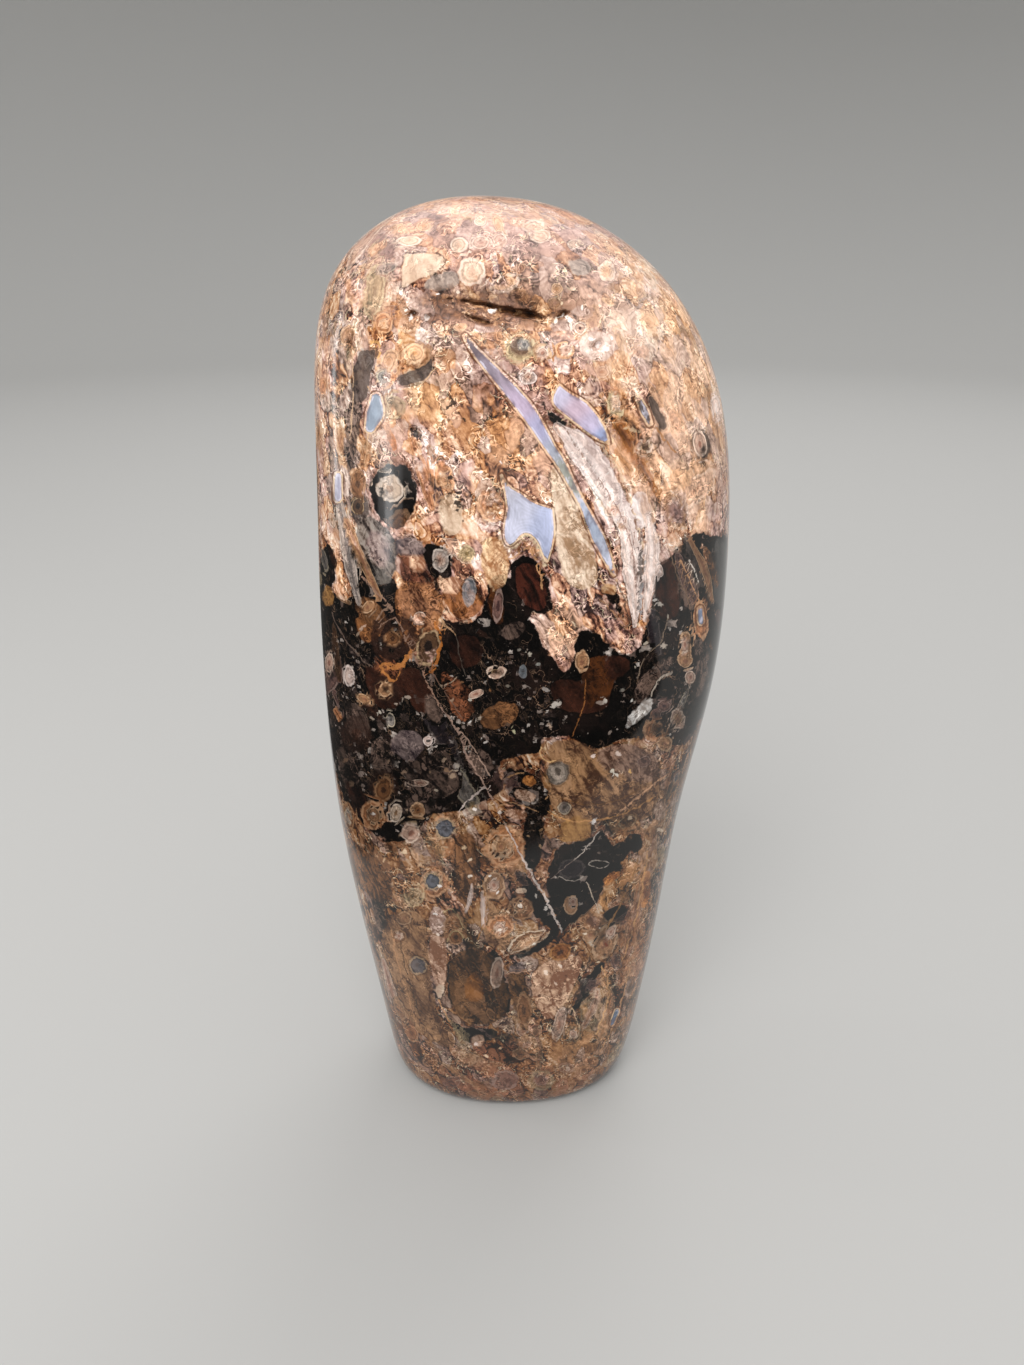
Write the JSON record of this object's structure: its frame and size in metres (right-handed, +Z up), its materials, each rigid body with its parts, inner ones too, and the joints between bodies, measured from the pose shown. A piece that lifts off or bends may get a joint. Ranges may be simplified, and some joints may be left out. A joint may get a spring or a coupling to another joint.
{
  "type": "petrified palm wood freeform",
  "caption": "Tall polished stone of petrified palm roots, wider above, with a rounded crown and a flat cut foot that it stands on.",
  "frame": {"origin": "middle of the flat foot, on the surface the stone stands on", "axes": "+Z up along the stone's height, -Y out of the front with the open crack, +X to the right seen from the front"},
  "size_m": [0.0623, 0.0432, 0.15],
  "materials": {
    "stone": "mirror polish over agatised palm root: tan and orange grain, black and lilac chalcedony"
  },
  "bodies": {
    "root": {"stone": "stone"}
  },
  "joints": []
}
